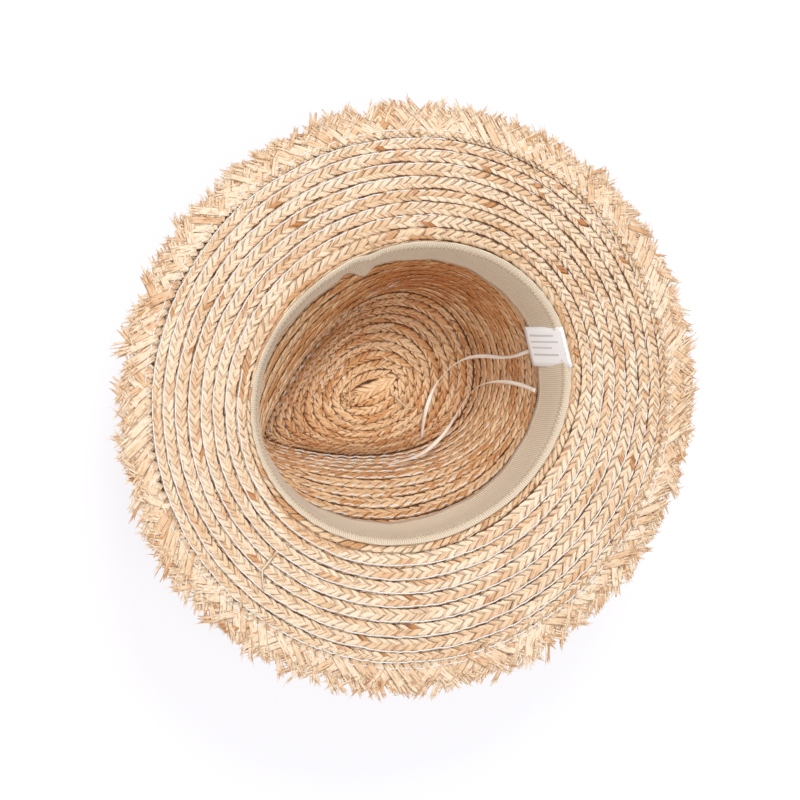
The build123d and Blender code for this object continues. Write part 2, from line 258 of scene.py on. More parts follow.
# Tree: puts one of the patterns on every place point. The point's own attributes pick the
# pattern, turn it and size it, with a random give in the size.
sow, given, sockets = new_tree("strands on places", [
    ("Places", "Geometry"), *(("Strand %d" % k, "Object") for k in range(1, 7)),
    ("Size give", "Float"), ("Seed", "Int"), ("Material", "Material")], "Strands")
patterns = add(sow, "GeometryNodeJoinGeometry")
for k in (6, 5, 4, 3, 2, 1):
    strand = add(sow, "GeometryNodeObjectInfo",
                 {"Object": given.outputs["Strand %d" % k], "As Instance": True})
    sow.links.new(strand.outputs["Geometry"], patterns.inputs[0])
turned = add(sow, "GeometryNodeInputNamedAttribute", {"Name": "facing"}, data_type="FLOAT_VECTOR")
turned = add(sow, "FunctionNodeEulerToRotation", {0: turned.outputs[0]})
sized = add(sow, "GeometryNodeInputNamedAttribute", {"Name": "size"}, data_type="FLOAT_VECTOR")
least = add(sow, "ShaderNodeMath", {0: 1.0, 1: given.outputs["Size give"]}, operation="SUBTRACT")
most = add(sow, "ShaderNodeMath", {0: 1.0, 1: given.outputs["Size give"]}, operation="ADD")
give = add(sow, "FunctionNodeRandomValue",
           {2: least.outputs[0], 3: most.outputs[0], "Seed": given.outputs["Seed"]}, data_type="FLOAT")
sized = add(sow, "ShaderNodeVectorMath", {0: sized.outputs[0], "Scale": give.outputs[1]}, operation="SCALE")
pick = add(sow, "GeometryNodeInputNamedAttribute", {"Name": "cut"}, data_type="INT")
sown = add(sow, "GeometryNodeInstanceOnPoints", {
    "Points": given.outputs["Places"], "Instance": patterns.outputs[0], "Pick Instance": True,
    "Instance Index": pick.outputs[0], "Rotation": turned.outputs[0], "Scale": sized.outputs[0]})
real = add(sow, "GeometryNodeRealizeInstances", {0: sown.outputs[0]})
named = add(sow, "GeometryNodeSetMaterial",
            {"Geometry": real.outputs[0], "Material": given.outputs["Material"]})
out = add(sow, "NodeGroupOutput")
sow.links.new(named.outputs[0], out.inputs[0])


def in_scene(name, data):
    """A new object in the scene, from a mesh, curve, light or camera."""
    ob = bpy.data.objects.new(name, data)
    bpy.context.scene.collection.objects.link(ob)
    return ob


def grown(name, me, tree, values):
    """A new piece: the mesh run through the tree, made a plain mesh."""
    ob = in_scene(name, me)
    mod = ob.modifiers.new("made", "NODES")
    mod.node_group = tree
    for key, value in values.items():
        mod[key] = value
    bpy.context.view_layer.update()
    made = bpy.data.meshes.new_from_object(ob.evaluated_get(bpy.context.evaluated_depsgraph_get()))
    ob.modifiers.remove(mod)
    ob.data = made
    made.shade_smooth()
    return ob


def places_mesh(name, places):
    """Points to sow strands on: (point in mm, axes, size, shade, painted shade, number of its cut) each."""
    me = bpy.data.meshes.new(name)
    me.from_pydata([p[0] * MM for p in places], [], [])
    for key, kind, values in (
        ("facing", "FLOAT_VECTOR", [c for p in places for c in p[1].to_euler()]),
        ("size", "FLOAT_VECTOR", [c for p in places for c in p[2]]),
        ("shade", "FLOAT", [p[3] for p in places]),
        ("worn", "FLOAT", [p[4] for p in places]),
        ("cut", "INT", [p[5] for p in places]),
    ):
        layer = me.attributes.new(key, kind, "POINT")
        layer.data.foreach_set("vector" if kind == "FLOAT_VECTOR" else "value", values)
    return me


def axes(x, z):
    """A turn whose X runs along x and whose Z is near z."""
    x = x.normalized()
    y = z.cross(x).normalized()
    return Matrix((x, y, x.cross(y))).transposed()


def fold(row, turn):
    """1 in the deep fold at the left of the crown, easing to 0 around it."""
    return math.exp(-((turn - 0.66) / 0.13) ** 2) * math.exp(-((row - 15.0) / 5.0) ** 2)


def worn(row, turn):
    """How much painted shade darkens the straw's colour: 0 on the brim, most in the crown's fold and the
    tip's middle.
    """
    inside = min(1.0, max(0.0, (BREAK_ROW + 0.3 - row) / 3.5))
    middle = math.exp(-(row / 5.0) ** 2)
    return inside * (0.65 + 0.35 * fold(row, turn) + 0.3 * middle)


def plait(first, last, seed, outside):
    """Places for the leaves of every row from first to last, on one side of the braid."""
    chance = random.Random(seed)
    places = []
    for column, middle, slant in ((0, 0.29, 35.0), (1, 0.71, -35.0)):
        if last < BREAK_ROW - 1:
            # the tip is wound tighter, so its strands lie flatter and the rows stand apart
            middle, slant = 0.5 + 0.92 * (middle - 0.5), 0.9 * slant
        row = first + column * 0.0035
        tone = 0.3
        while row < last:
            turn = row % 1.0
            # rows stand apart more where the brim is bent, at the back
            bend = math.exp(-((turn - 0.57) / 0.15) ** 2) if row > BREAK_ROW - 1 else 0.0
            narrow = 0.5 + (middle - 0.5) * (1 - 0.06 * bend)
            here, along, across, out_dir, step = row_frame(row + narrow, turn)
            # round the pinch's tight corner the strands stand steeper and closer, so fewer stick out
            ahead, behind = (row_frame(row + narrow, turn + d)[1] for d in (0.012, -0.012))
            tight = min(1.0, max(0.0, (ahead.angle(behind) - 0.25) / 0.5))
            pitch = min(8.6, max(5.0, abs(step.dot(across))))
            squeeze = pitch / ROW_PITCH
            # each row lies like a shingle: the edge towards the next row is the higher
            tip = math.radians(8.0 if row > RIDGE_ROW else 10.0)
            side = across * math.cos(tip) + out_dir * math.sin(tip)
            up = out_dir * math.cos(tip) - across * math.sin(tip)
            angle = math.radians(slant * (1 + 0.8 * tight) + chance.uniform(-8, 8))
            line = along.normalized() * math.cos(angle) + side * math.sin(angle)
            lift = -BRAID / 2 + (middle - 0.5) * pitch * math.sin(tip) + chance.uniform(-0.12, 0.12)
            lift += -0.5 if outside else 0.5
            if outside:
                up = -up
            full = (1.08 if row > BREAK_ROW - 1 else 1.14) - 0.19 * bend + chance.uniform(-0.06, 0.06)
            full -= 0.42 * tight
            # a strand runs on under its neighbours, so its shade carries over a few leaves
            if chance.random() < 0.35:
                tone = chance.random() ** 1.25
            shade = min(1.0, max(0.0, tone * 0.78 + chance.uniform(-0.08, 0.08)))
            if chance.random() < 0.012:
                shade = chance.uniform(0.93, 1.0)
            # painted shade: inside the crown every strand is pushed towards the ramp's brown, most in the
            # deep fold and less beside it
            if not outside and row < BREAK_ROW:
                shade = min(0.9 + 0.1 * fold(row, turn), shade + 0.95 * fold(row, turn) + 0.22)
            # a column cut by the other hand is turned end for end, so both overlap the same way
            mirrored = slant * along.cross(side).dot(up) < 0
            line = -line if mirrored else line
            nudge = along.normalized() * chance.uniform(-0.4, 0.4) + across * chance.uniform(-0.2, 0.2)
            wide = squeeze * chance.uniform(0.9, 1.16) * (1 - 0.35 * tight)
            places.append((here + out_dir * lift + nudge,
                           axes(line, up), Vector((squeeze * full, wide, 1.0)), shade,
                           0.0 if outside else worn(row, turn), chance.randrange(3) + 3 * mirrored))
            row += STRAND_SPACING * max(0.8, squeeze) * (1 - 0.5 * tight) / along.length
    return places


def join(ob, me):
    """Adds a mesh to a piece, as part of it."""
    more = in_scene(me.name, me)
    with bpy.context.temp_override(active_object=ob, selected_editable_objects=[ob, more]):
        bpy.ops.object.join()


def under_plait(ob, first, last):
    """Joins the plait's hidden middle to a piece: a closed skin 0.5 mm thick, dark brown as painted shade in
    the gaps.
    """
    around = 120
    steps = math.ceil((last - first) * 2)
    rows = [first + (last - first) * k / steps for k in range(steps + 1)]
    verts, faces = [], []
    for lift in (-0.75, -1.25):
        for row in rows:
            for k in range(around):
                here, _, _, out_dir, _ = row_frame(row, k / around)
                verts.append((here + out_dir * lift) * MM)
    layer = len(rows) * around
    for i in range(len(rows) - 1):
        for k in range(around):
            a, b = i * around + k, i * around + (k + 1) % around
            quad = [a, b, b + around, a + around]
            faces.append(quad[::-1])
            faces.append([v + layer for v in quad])
    for k in range(around):
        n = (k + 1) % around
        faces.append([k, n, n + layer, k + layer])
        top = (len(rows) - 1) * around
        faces.append([top + n, top + k, top + k + layer, top + n + layer])
    me = bpy.data.meshes.new(ob.name + " middle")
    me.from_pydata(verts, [], faces)
    me.shade_smooth()
    me.materials.append(painted_shade_skin)
    join(ob, me)


def sowing(patterns, give, seed):
    """What the sowing tree is told: the patterns to pick from, the give in size and the seed."""
    values = {sockets["Strand %d" % (k + 1)]: strand for k, strand in enumerate(patterns)}
    return {**values, sockets["Size give"]: give, sockets["Seed"]: seed, sockets["Material"]: raffia}


def braid_piece(name, first, last, seed, *nodes):
    """One stretch of the braid, its two faces standing for its CAD nodes."""
    for face, outside in (("inner_face", False), ("outer_face", True)):
        piece = name + "_" + face
        places = plait(first, last, seed + outside, outside)
        ob = grown(piece, places_mesh(piece, places), sow, sowing(leaves, 0.06, seed))
        if not outside:
            under_plait(ob, first, last + 0.7)
        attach(ob, "root")
        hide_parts(*nodes)


braid_piece("braid_of_the_tip", 0.05, RIDGE_ROW - 0.3, 11, "crown_tip_braid")

# The braid's start is a straight run in the middle, cut and knotted at its front end.
start = []
chance = random.Random(5)
for column, slant in ((-1, 37.0), (1, -37.0)):
    for k in range(6):
        here = Vector((-5.0 + column * 1.7, -14.0 + 4.6 * k + 1.2 * column, 23.0 - 0.05 * (k - 2) ** 2))
        angle = math.radians(slant + chance.uniform(-5, 5))
        line = Vector((math.sin(angle), math.cos(angle), chance.uniform(-0.04, 0.04)))
        start.append((here, axes(-line if column < 0 else line, Vector((0, 0, 1))), Vector((1.15, 1.0, 1.0)),
                      chance.uniform(0.0, 0.6), worn(0, 0), chance.randrange(3) + 3 * (column < 0)))
for k in range(10):
    angle = math.radians(-135 + 17 * k + chance.uniform(-9, 9))
    here = Vector((-6.5 + chance.uniform(-1.8, 1.8), -16.5 + chance.uniform(-1.5, 1.0),
                   23.1 + chance.uniform(0, 0.8)))
    line = Vector((math.cos(angle), math.sin(angle), chance.uniform(0.0, 0.25)))
    start.append((here, axes(line, Vector((0, 0, 1))), Vector((0.72, 0.32, 0.6)), chance.uniform(0.1, 0.85),
                  worn(0, 0), k % 3))
knot = grown("start_of_the_braid", places_mesh("start_of_the_braid", start), sow, sowing(leaves, 0.05, 3))
# a dark skin under the start, painted shade for its gaps
me = bpy.data.meshes.new("start middle")
ring = [row_point(0.9, k / 40) for k in range(40)]
me.from_pydata([(p + Vector((0, 0, z))) * MM for z in (-0.9, -1.6) for p in ring], [],
               [list(range(40)), list(range(79, 39, -1))]
               + [[k, k + 40, (k + 1) % 40 + 40, (k + 1) % 40] for k in range(40)])
me.materials.append(painted_shade_skin)
join(knot, me)
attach(knot, "root")
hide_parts("tip_centre_knot")

# ---------------------------------------------------------------- crown wall
# The same braid goes on from the ridge up the crown wall to the head opening. The wall
# is pinched in at both sides of the front, so the rows there fold into the teardrop.
braid_piece("braid_of_the_wall", RIDGE_ROW - 0.3, BREAK_ROW - 0.3, 31, "crown_side_braid")

# ---------------------------------------------------------------- brim
# The brim is the same raffia braid's last eight rows. They are sewn nearly flat, from the
# head opening out to the criss-cross strip of the edge.
braid_piece("braid_of_the_brim", BREAK_ROW - 0.3, LATTICE_ROW - 0.8, 51, "brim_braid")


# Loose straws: a few strands have worked out of the plait and stand off it.


def loose_straw(spots, width, lift, seed):
    """A flat straw through (row, turn) spots, rising lift mm off the hat in between."""
    chance = random.Random(seed)
    path = []
    for (r0, t0), (r1, t1) in zip(spots, spots[1:]):
        for k in range(6):
            u = len(path) / (6.0 * (len(spots) - 1))
            here, _, _, out_dir, _ = row_frame(r0 + (r1 - r0) * k / 6, t0 + (t1 - t0) * k / 6)
            path.append(here + out_dir * (0.3 + lift * math.sin(math.pi * u) + chance.uniform(-0.05, 0.05)))
    verts, uvs, faces = [], [], []
    for i, here in enumerate(path):
        tangent = (path[min(i + 1, len(path) - 1)] - path[max(i - 1, 0)]).normalized()
        wide = tangent.cross(Vector((0, 0, 1))).normalized()
        half = width / 2 * (1 - 0.8 * (i / len(path)) ** 3)
        for v, z in ((-1, 0.0), (0, 0.2), (1, 0.0), (0, -0.1)):
            verts.append((here + wide * (v * half) + Vector((0, 0, z))) * MM)
            uvs.append((i * 1.5, v * half + 1))
    for i in range(len(path) - 1):
        for j in range(4):
            a, b = i * 4 + j, i * 4 + (j + 1) % 4
            faces.append([a, a + 4, b + 4, b])
    faces.append([0, 1, 2, 3])
    faces.append([(len(path) - 1) * 4 + j for j in (3, 2, 1, 0)])
    return verts, uvs, faces


verts, uvs, faces = [], [], []
for spots, width, lift in (
    ([(28.0, 0.0655), (30.0, 0.0635), (31.35, 0.075)], 1.7, 2.2),
    ([(1.45, 0.355), (2.75, 0.342), (3.72, 0.338), (4.69, 0.354)], 1.2, 2.4),
    ([(24.9, 0.728), (25.9, 0.735)], 1.2, 1.5),
    ([(32.3, 0.604), (33.3, 0.614)], 1.4, 1.2),
    ([(30.2, 0.415), (30.9, 0.424)], 1.2, 1.0),
):
    more = loose_straw(spots, width, lift, len(verts))
    faces += [[v + len(verts) for v in face] for face in more[2]]
    verts += more[0]
    uvs += more[1]
me = uv_mesh("loose_straws", verts, faces, "strand", uvs)
me.attributes.new("shade", "FLOAT", "POINT").data.foreach_set("value", [0.1] * len(verts))
me.materials.append(raffia)
straws = in_scene("loose_straws", me)
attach(straws, "root")

# ---------------------------------------------------------------- sewing thread
# One white two-ply cotton thread chain-stitches each row to the next, all round the
# spiral. It lies along the row's raised edge and dips into the straw at every stitch.
cotton, t, skin = new_material("white two-ply cotton thread", {"Roughness": 0.7, "Sheen Weight": 0.2})
along = add(t, "ShaderNodeAttribute", attribute_name="along").outputs["Fac"]
around = add(t, "ShaderNodeAttribute", attribute_name="around").outputs["Fac"]
# one ply crosses the thread every 1.1 mm
turns = add(t, "ShaderNodeMath", {0: along, 1: 2 * math.pi / 0.0011}, operation="MULTIPLY").outputs[0]
lap = add(t, "ShaderNodeMath", {0: around, 1: 2 * math.pi}, operation="MULTIPLY").outputs[0]
phase = add(t, "ShaderNodeMath", {0: turns, 1: lap}, operation="ADD").outputs[0]
ply = add(t, "ShaderNodeMath", {0: phase}, operation="SINE").outputs[0]
ply = add(t, "ShaderNodeMapRange", {0: ply, 1: -1.0, 2: 1.0}).outputs[0]
white = add(t, "ShaderNodeMix", {0: ply, 6: hex_colour("#e6dccf"), 7: hex_colour("#ffffff")},
            data_type="RGBA")
bumpy = add(t, "ShaderNodeBump", {"Height": ply, "Strength": 0.7, "Distance": 0.0002})
surface(t, skin, white.outputs[2], bumpy)

# Tree: a round thread along a path of edges, with its own along and around values.
spin, given, spun = new_tree("thread along a path", [
    ("Path", "Geometry"), ("Radius", "Float"), ("Sides", "Int"), ("Material", "Material")], "Thread")
line = add(spin, "GeometryNodeMeshToCurve", {0: given.outputs["Path"]})
far = add(spin, "GeometryNodeSplineParameter")
line = add(spin, "GeometryNodeStoreNamedAttribute",
           {"Geometry": line.outputs[0], "Name": "along", "Value": far.outputs["Length"]},
           data_type="FLOAT", domain="POINT")
ring = add(spin, "GeometryNodeCurvePrimitiveCircle",
           {"Resolution": given.outputs["Sides"], "Radius": given.outputs["Radius"]})
ring = add(spin, "GeometryNodeStoreNamedAttribute",
           {"Geometry": ring.outputs[0], "Name": "around", "Value": far.outputs["Factor"]},
           data_type="FLOAT", domain="POINT")
body = add(spin, "GeometryNodeCurveToMesh",
           {"Curve": line.outputs[0], "Profile Curve": ring.outputs[0], "Fill Caps": True})
real = add(spin, "GeometryNodeRealizeInstances", {0: body.outputs[0]})
named = add(spin, "GeometryNodeSetMaterial",
            {"Geometry": real.outputs[0], "Material": given.outputs["Material"]})
out = add(spin, "NodeGroupOutput")
spin.links.new(named.outputs[0], out.inputs[0])


def thread_piece(name, paths, radius, material, slot, *nodes):
    """Threads through lists of points in mm, standing for their CAD nodes."""
    me = bpy.data.meshes.new(name)
    verts, edges = [], []
    for path in paths:
        edges += [(len(verts) + k, len(verts) + k + 1) for k in range(len(path) - 1)]
        verts += [p * MM for p in path]
    me.from_pydata(verts, edges, [])
    ob = grown(name, me, spin, {spun["Radius"]: radius * MM, spun["Sides"]: 6, spun["Material"]: material})
    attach(ob, "root")
    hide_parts(*nodes)


def seam_path(first, last, seed, high):
    """The thread's line along the rows' edges: on top for a stitch, then just inside.

    high(row, turn) is how far its stitches stand out of the straw, in mm.
    """
    step, stitch = 1.6, 9.0
    chance = random.Random(seed)
    path, row, gone, sway = [], first, 0.0, 0.0
    while row < last:
        here, along_row, across, out_dir, _ = row_frame(row - 0.02, row % 1.0)
        dip = (0.5 + 0.5 * math.cos(2 * math.pi * gone / stitch)) ** 1.2
        sway += chance.uniform(-0.22, 0.22) - 0.15 * sway
        lift = max(-1.1, high(row, row % 1.0) - 1.1 * dip) + chance.uniform(-0.08, 0.08)
        path.append(here + out_dir * lift + across * sway)
        gone += step
        row += step / along_row.length
    return path


def tip_height(row, turn):
    """How far the tip's stitches stand out, in mm: more at turn 0.85 and in the outer rows."""
    return -1.05 + 0.80 * math.exp(-((turn - 0.85) / 0.10) ** 2) + 0.30 * max(0.0, row - 8.5)


def wall_height(row, turn):
    """How far the wall's stitches stand out, in mm: more at turn 0.20."""
    return -1.05 + 1.45 * math.exp(-((turn - 0.20) / 0.15) ** 2)


def brim_height(row, turn):
    """How far the brim's stitches stand out, in mm: less at turn 0.56, behind."""
    return 1.05 + 0.25 * math.sin(7 * row + 9 * turn) - 2.0 * math.exp(-((turn - 0.56) / 0.16) ** 2)


for name, first, last, high, node in (
    ("thread_of_the_tip", 1.6, 10.0, tip_height, "tip_seam_thread"),
    ("thread_of_the_wall", 11.0, 21.0, wall_height, "side_seam_thread"),
    ("thread_of_the_brim", 25.9, 33.6, brim_height, "brim_seam_thread"),
):
    thread_piece(name, [seam_path(first, last, int(first), high)], 0.40, cotton, "seam_thread", node)

# ---------------------------------------------------------------- edge of the brim
# An open strip of split raffia, laid criss-cross and held by two rows of stitches. Its
# strands run out past the last row and end torn, so the edge is a thick soft fringe.


def torn_mesh(name, length, width, seed):
    """A flat strand along +X, whole at first and torn into three tails at its end."""
    chance = random.Random(seed)
    verts, uvs, faces = [], [], []
    whole = chance.uniform(0.64, 0.78)
    sag = chance.uniform(-1.2, 0.3)

    def ribbon(x0, x1, y0, y1, w0, w1, steps, lift):
        first = len(verts)
        for i in range(steps + 1):
            u = i / steps
            x = x0 + (x1 - x0) * u
            y = y0 + (y1 - y0) * u * u
            w = (w0 + (w1 - w0) * u ** 2) / 2
            far = x / length
            z = 0.4 * math.cos(x * math.pi / 5.0) * (1 - far) + sag * far ** 2 + lift * u
            for dy, dz in ((-1, 0.0), (-0.75, 0.16), (0.75, 0.16), (1, 0.0), (0, -0.1)):
                verts.append((x * MM, (y + dy * w) * MM, (z + dz) * MM))
                uvs.append((x, y + dy * w + width))
        for i in range(steps):
            for j in range(5):
                a, b = first + i * 5 + j, first + i * 5 + (j + 1) % 5
                faces.append([b, b + 5, a + 5, a])
        faces.append([first + j for j in range(5)])
        faces.append([first + steps * 5 + j for j in (4, 3, 2, 1, 0)])

    ribbon(0.0, whole * length, 0.0, 0.0, width, width * 0.98, 6, 0.0)
    for k in (-1, 0, 1):
        share = width / 3
        reach = length * chance.uniform(whole + 0.10, 1.0)
        swing = k * share * chance.uniform(1.0, 2.0) + chance.uniform(-0.4, 0.4)
        ribbon(whole * length - 0.4, reach, k * share, swing, share * 1.05, share * chance.uniform(0.08, 0.5),
               3, chance.uniform(-0.7, 0.7))
    return bpy.data.objects.new(name, uv_mesh(name, verts, faces, "strand", uvs))


torn = [torn_mesh("torn_strand_pattern_%d" % k, 25.0, w, k + 3) for k, w in enumerate((5.2, 4.6, 3.8))]
fibres = [torn_mesh("torn_fibre_pattern_%d" % k, 15.0, w, k + 9) for k, w in enumerate((1.2, 0.8, 1.8))]


def edge_places(start, spread, every, slants, reach, seed, lifts, loose):
    """Places for strands that start near one row and slant out over the edge."""
    chance = random.Random(seed)
    places = []
    for side, (slant, lift) in enumerate(zip(slants, lifts)):
        turn = side * 0.0013
        while turn < 1.0:
            row = start + chance.uniform(-spread, spread)
            here, along, across, out_dir, _ = row_frame(row, turn)
            # the strands lie in tufts: near ones lean much the same way
            lean = (9 * math.sin(2 * math.pi * turn * 23 + side * 2)
                    + 6 * math.sin(2 * math.pi * turn * 57 + side))
            angle = math.radians(slant + (lean + chance.uniform(-11, 11)) * loose)
            line = across * math.cos(angle) + along.normalized() * math.sin(angle)
            line += out_dir * chance.uniform(-0.07, 0.04)
            size = reach * (1 + 0.09 * math.sin(2 * math.pi * turn * 31 + 1)
                            + 0.06 * math.sin(2 * math.pi * turn * 13) + chance.uniform(-0.16, 0.14))
            wide = chance.uniform(0.8, 1.15)
            shade = chance.random() ** 1.7 * 0.8 + (0.2 if chance.random() < 0.04 else 0.0)
            places.append((here + out_dir * (lift + chance.uniform(-0.35, 0.35)),
                           axes(line, out_dir), Vector((size, wide, 1.0)), shade, 0.0, chance.randrange(3)))
            turn += every * chance.uniform(1 - 0.4 * loose, 1 + 0.4 * loose) / along.length
    return places


def tuft_places(count, seed):
    """Places for the torn fibres, which stand out of the edge in tufts of three to six."""
    chance = random.Random(seed)
    places = []
    for k in range(count):
        middle = (k + chance.uniform(-0.4, 0.4)) / count
        slant = chance.choice((-1, 1)) * chance.uniform(28, 62)
        reach = chance.uniform(0.65, 1.1)
        row = EDGE_ROW - chance.uniform(0.25, 0.75)
        for _ in range(chance.randint(3, 6)):
            turn = (middle + chance.uniform(-1, 1) * 0.0028) % 1.0
            here, along, across, out_dir, _ = row_frame(row + chance.uniform(-0.1, 0.1), turn)
            angle = math.radians(slant + chance.uniform(-13, 13))
            line = across * math.cos(angle) + along.normalized() * math.sin(angle)
            line += out_dir * chance.uniform(-0.12, 0.10)
            places.append((here + out_dir * chance.uniform(-1.2, 0.5), axes(line, out_dir),
                           Vector((reach * chance.uniform(0.8, 1.1), chance.uniform(0.7, 1.3), 1.0)),
                           chance.random() ** 1.4 * 0.95, 0.0, chance.randrange(3)))
    return places


def strands_piece(name, places, patterns, seed, node):
    """A piece of the edge: torn strands on these places, standing for its CAD node."""
    ob = grown(name, places_mesh(name, places), sow, sowing(patterns, 0.08, seed))
    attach(ob, "root")
    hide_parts(node)


strands_piece("criss_cross_strip", edge_places(LATTICE_ROW - 0.4, 0.08, 5.4, (45, -45, 43, -43), 0.86, 21,
                                               (0.35, 0.05, -0.6, -1.0), 0.5), torn, 21, "edge_lattice")
strands_piece("torn_ends", tuft_places(240, 22), fibres, 22, "edge_fringe")
RING_POINTS = 640
ring = []
for k in range(RING_POINTS):
    here, _, across, out_dir, _ = row_frame(LATTICE_ROW + 0.08, k / RING_POINTS)
    dip = (0.5 + 0.5 * math.cos(2 * math.pi * k / 5.5)) ** 1.2
    high = 0.75 + 0.3 * math.sin(k / 17) - 1.4 * dip
    ring.append(here + out_dir * high + across * 0.3 * math.sin(k / 2.3))
thread_piece("thread_of_the_edge", [ring + ring[:1]], 0.36, cotton, "seam_thread", "edge_seam_thread")

# ---------------------------------------------------------------- sweatband
# A beige grosgrain ribbon, 28 mm wide, sewn round the inside of the head opening. It
# takes the sweat and hides the drawstring; it puckers where it is pulled in.
BAND_TOP_ROW = 21.2
BAND_SEWN_ROW = 24.85
BAND_BACK = 1.5
BAND_WIDE = 28.0


def band_point(row, turn, lift):
    """A point of the sweatband, lift mm off the crown wall (less at the front left)."""
    away = turn - 0.9 if turn > 0.5 else turn + 0.1
    lift -= 1.1 * math.exp(-(away / 0.10) ** 2)
    here, _, _, out_dir, _ = row_frame(row, turn)
    level = Vector((out_dir.x, out_dir.y, 0.25 * out_dir.z)).normalized()
    loose = (row - BAND_TOP_ROW) / (BAND_SEWN_ROW - BAND_TOP_ROW)
    ripple = 0.35 * math.sin(2 * math.pi * turn * 9 + 0.5) + 0.25 * math.sin(2 * math.pi * turn * 21)
    pucker = 4.2 * math.exp(-((turn - 0.735) / 0.010) ** 2) - 1.4 * math.exp(-((turn - 0.752) / 0.009) ** 2)
    return here + level * (lift + (1 - loose) * (0.4 + ripple) + (1 - 0.75 * loose) * pucker)


band = bpy.data.meshes.new("sweatband_ribbon")
AROUND, ACROSS = 480, 10
verts, faces, uvs = [], [], []
length_here = [0.0]
for i in range(AROUND):
    step = band_point(23, (i + 1) / AROUND, BAND_BACK) - band_point(23, i / AROUND, BAND_BACK)
    length_here.append(length_here[-1] + step.length)
for lift in (BAND_BACK + 0.7, BAND_BACK):
    for j in range(ACROSS + 1):
        row = BAND_TOP_ROW + (BAND_SEWN_ROW - BAND_TOP_ROW) * j / ACROSS
        for i in range(AROUND):
            verts.append(band_point(row, i / AROUND, lift) * MM)
layer = (ACROSS + 1) * AROUND
for j in range(ACROSS):
    for i in range(AROUND):
        n = (i + 1) % AROUND
        quad = [j * AROUND + i, j * AROUND + n, (j + 1) * AROUND + n, (j + 1) * AROUND + i]
        place = [(length_here[a], b) for a, b in ((i, j), (i + 1, j), (i + 1, j + 1), (i, j + 1))]
        faces.append(quad[::-1])
        uvs.append(place[::-1])
        faces.append([v + layer for v in quad])
        uvs.append(place)
for i in range(AROUND):
    n = (i + 1) % AROUND
    faces.append([i, n, n + layer, i + layer])
    uvs.append([(length_here[a], 0) for a in (i, i + 1, i + 1, i)])
    top = ACROSS * AROUND
    faces.append([top + n, top + i, top + i + layer, top + n + layer])
    uvs.append([(length_here[i], ACROSS)] * 4)
band.from_pydata(verts, [], faces)
flat = band.uv_layers.new(name="ribbon")
for poly, place in zip(band.polygons, uvs):
    for k, (u, v) in enumerate(place):
        flat.data[poly.loop_start + k].uv = (u, v * BAND_WIDE / ACROSS)
band.shade_smooth()

grosgrain, t, skin = new_material("beige cotton grosgrain ribbon", {"Roughness": 0.75, "Sheen Weight": 0.25})
uv = add(t, "ShaderNodeSeparateXYZ", {0: add(t, "ShaderNodeUVMap", uv_map="ribbon").outputs[0]})
# ribs cross the ribbon 1.2 mm apart, twice the real spacing so that they show
rib = add(t, "ShaderNodeMath", {0: uv.outputs[0], 1: 2 * math.pi / 1.2}, operation="MULTIPLY").outputs[0]
rib = add(t, "ShaderNodeMath", {0: rib}, operation="SINE").outputs[0]
rib = add(t, "ShaderNodeMapRange", {0: rib, 1: -1.0, 2: 1.0}).outputs[0]
where = add(t, "ShaderNodeTexCoord").outputs["Object"]
cloud = add(t, "ShaderNodeTexNoise", {"Vector": where, "Scale": 60.0, "Detail": 3.0})
yarn = add(t, "ShaderNodeTexNoise", {"Vector": where, "Scale": 1400.0, "Detail": 1.0})
beige = add(t, "ShaderNodeMix", {0: rib, 6: hex_colour("#c4b094"), 7: hex_colour("#eddfca")},
            data_type="RGBA")
patchy = add(t, "ShaderNodeMapRange", {0: cloud.outputs[0], 3: 0.0, 4: 0.5}).outputs[0]
patchy = add(t, "ShaderNodeMix", {0: patchy, 6: beige.outputs[2], 7: hex_colour("#cdb698")}, data_type="RGBA")
high = add(t, "ShaderNodeMath", {0: yarn.outputs[0], 1: 0.3, 2: rib}, operation="MULTIPLY_ADD").outputs[0]
ribbed = add(t, "ShaderNodeBump", {"Height": high, "Strength": 0.5, "Distance": 0.0002})
surface(t, skin, patchy.outputs[2], ribbed)
band.materials.append(grosgrain)
sweatband = in_scene("sweatband_ribbon", band)
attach(sweatband, "root")
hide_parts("sweatband")

# ---------------------------------------------------------------- sweatband stitching
# Beige thread: zigzag beside the brim, a fine running stitch along the drawstring's
# channel, and a short upright seam where the ribbon's two ends meet at the back.
beige_thread, t, skin = new_material("beige polyester sewing thread", {"Roughness": 0.5})
far = add(t, "ShaderNodeAttribute", attribute_name="along").outputs["Fac"]
twist = add(t, "ShaderNodeMath", {0: far, 1: 2 * math.pi / 0.0009}, operation="MULTIPLY").outputs[0]
twist = add(t, "ShaderNodeMath", {0: twist}, operation="SINE").outputs[0]
twist = add(t, "ShaderNodeMapRange", {0: twist, 1: -1.0, 2: 1.0}).outputs[0]
tone = add(t, "ShaderNodeMix", {0: twist, 6: hex_colour("#cdb799"), 7: hex_colour("#ead9c0")},
           data_type="RGBA")
lay = add(t, "ShaderNodeBump", {"Height": twist, "Strength": 0.5, "Distance": 0.0001})
surface(t, skin, tone.outputs[2], lay)

ZIGZAGS, ZIGZAG_OUTER, ZIGZAG_INNER = 420, 24.60, 24.28
zigzag = []
for k in range(ZIGZAGS):
    turn = k / ZIGZAGS
    row, other = (ZIGZAG_OUTER, ZIGZAG_INNER) if k % 2 else (ZIGZAG_INNER, ZIGZAG_OUTER)
    for d, lift in ((0.0, 0.55), (0.15, 0.95), (0.85, 0.95)):
        zigzag.append(band_point(row + (other - row) * d, turn + d / ZIGZAGS, BAND_BACK + lift))
zigzag.append(zigzag[0])
thread_piece("zigzag_stitches", [zigzag], 0.22, beige_thread, "band_thread", "sweatband_edge_stitching")

